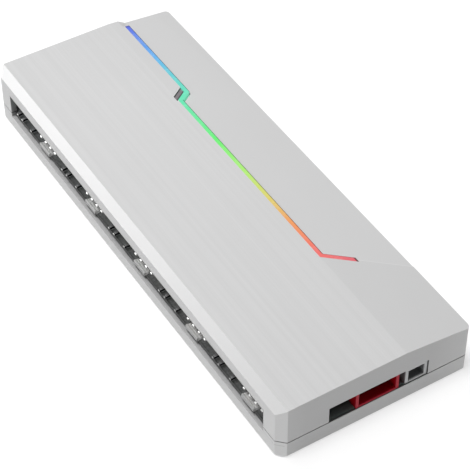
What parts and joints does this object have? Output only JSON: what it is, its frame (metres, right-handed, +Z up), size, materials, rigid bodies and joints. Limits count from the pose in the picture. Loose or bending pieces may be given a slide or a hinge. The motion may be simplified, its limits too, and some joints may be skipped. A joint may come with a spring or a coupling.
{
  "type": "pc fan controller hub",
  "caption": "Flat white hub box for computer fans and lamps, with a zigzag light bar in its top, pin headers in a long side window and shrouded headers in an end window.",
  "frame": {"origin": "middle of the underside of the case", "axes": "+Z up; +Y along the case, away from the end with the shrouded headers; -X towards the side with the ten pin headers"},
  "size_m": [0.052, 0.1386, 0.0165],
  "materials": {
    "case_white": "satin",
    "light_guide": "glossy",
    "window_dark": "glossy",
    "board": "satin",
    "nylon_light": "satin",
    "nylon_black": "satin",
    "nylon_red": "satin",
    "nylon_grey": "satin",
    "pin_metal": "bright",
    "lamp": "glossy",
    "chip_black": "matt",
    "can_metal": "satin",
    "screw_dark": "black oxide"
  },
  "bodies": {
    "root": {"top_cover": "case_white", "bottom_shell": "case_white", "light_bar": "light_guide", "status_window": "window_dark", "circuit_board": "board", "fan_header_1": "nylon_light", "fan_header_2": "nylon_light", "fan_header_3": "nylon_light", "fan_header_4": "nylon_light", "fan_header_5": "nylon_light", "fan_pins_1": "pin_metal", "fan_pins_2": "pin_metal", "fan_pins_3": "pin_metal", "fan_pins_4": "pin_metal", "fan_pins_5": "pin_metal", "argb_header_1": "nylon_black", "argb_header_2": "nylon_black", "argb_header_3": "nylon_black", "argb_header_4": "nylon_black", "argb_header_5": "nylon_black", "argb_pins_1": "pin_metal", "argb_pins_2": "pin_metal", "argb_pins_3": "pin_metal", "argb_pins_4": "pin_metal", "argb_pins_5": "pin_metal", "power_header": "nylon_red", "power_pins": "pin_metal", "sync_header": "nylon_grey", "sync_pins": "pin_metal", "bar_leds": "lamp", "controller_chip": "chip_black", "power_capacitor": "can_metal", "case_screws": "screw_dark"}
  },
  "joints": []
}
